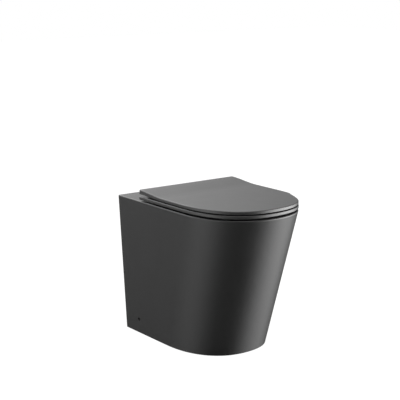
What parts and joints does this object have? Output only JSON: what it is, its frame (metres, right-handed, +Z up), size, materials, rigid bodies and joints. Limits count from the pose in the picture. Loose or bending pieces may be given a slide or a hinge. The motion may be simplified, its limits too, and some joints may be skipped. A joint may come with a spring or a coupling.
{
  "type": "toilet",
  "caption": "Floor-standing back-to-wall toilet pan in satin black china with a skirted, tapering base and a lift-off soft-close seat and lid.",
  "frame": {"origin": "on the floor, half-way across the pan and half-way between the wall face and the pan's front", "axes": "+Z up, -Y to the front of the pan, +Y to the wall, +X to the right seen from the front"},
  "size_m": [0.35, 0.523, 0.4536],
  "materials": {
    "china": "satin black glaze",
    "seat_shell": "satin black moulded thermoset",
    "rubber": "dull black",
    "hinge_metal": "satin black coating on zinc",
    "steel": "bright stainless",
    "screw_black": "blackened steel",
    "fitting_plastic": "dark grey moulded",
    "bracket_plastic": "white moulded"
  },
  "bodies": {
    "root": {"pan": "china", "flush_inlet_seal": "rubber", "flush_diffuser": "fitting_plastic", "hinge_gasket_left": "rubber", "hinge_gasket_right": "rubber", "hinge_plate_left": "hinge_metal", "hinge_plate_right": "hinge_metal", "hinge_stud_left": "steel", "hinge_stud_right": "steel", "hinge_anchor_left": "rubber", "hinge_anchor_right": "rubber", "anchor_nut_left": "steel", "anchor_nut_right": "steel", "floor_bracket_left": "bracket_plastic", "floor_bracket_right": "bracket_plastic", "side_screw_left": "screw_black", "side_screw_right": "screw_black"},
    "carrier": {"hinge_body_left": "hinge_metal", "hinge_body_right": "hinge_metal", "damper_left": "fitting_plastic", "damper_right": "fitting_plastic", "pivot_pin_left": "steel", "pivot_pin_right": "steel", "catch_spring_left": "steel", "catch_spring_right": "steel"},
    "button_left": {"release_button_left": "fitting_plastic"},
    "button_right": {"release_button_right": "fitting_plastic"},
    "seat": {"seat_ring": "seat_shell", "seat_buffers": "rubber", "seat_damper_shaft": "steel", "seat_bush": "fitting_plastic"},
    "lid": {"lid": "seat_shell", "lid_buffers": "rubber", "lid_damper_shaft": "steel", "lid_bush": "fitting_plastic"}
  },
  "joints": [
    {"name": "seat_lift_off", "type": "slide", "parent": "root", "child": "carrier", "axis": [0, 0, 1], "range_m": [0, 0.05], "deforming": ["catch_spring_left", "catch_spring_right"]},
    {"name": "release_button_left", "type": "slide", "parent": "carrier", "child": "button_left", "axis": [0, -1, 0], "range_m": [0, 0.003], "stiffness_N_per_m": 800, "deforming": ["catch_spring_left"]},
    {"name": "release_button_right", "type": "slide", "parent": "carrier", "child": "button_right", "axis": [0, -1, 0], "range_m": [0, 0.003], "stiffness_N_per_m": 800, "deforming": ["catch_spring_right"]},
    {"name": "seat_hinge", "type": "hinge", "parent": "carrier", "child": "seat", "pos_m": [0, 0.1495, 0.436], "axis": [-1, 0, 0], "range_deg": [0, 95]},
    {"name": "lid_hinge", "type": "hinge", "parent": "seat", "child": "lid", "pos_m": [0, 0.1495, 0.436], "axis": [1, 0, 0], "range_deg": [-97, 0]}
  ]
}
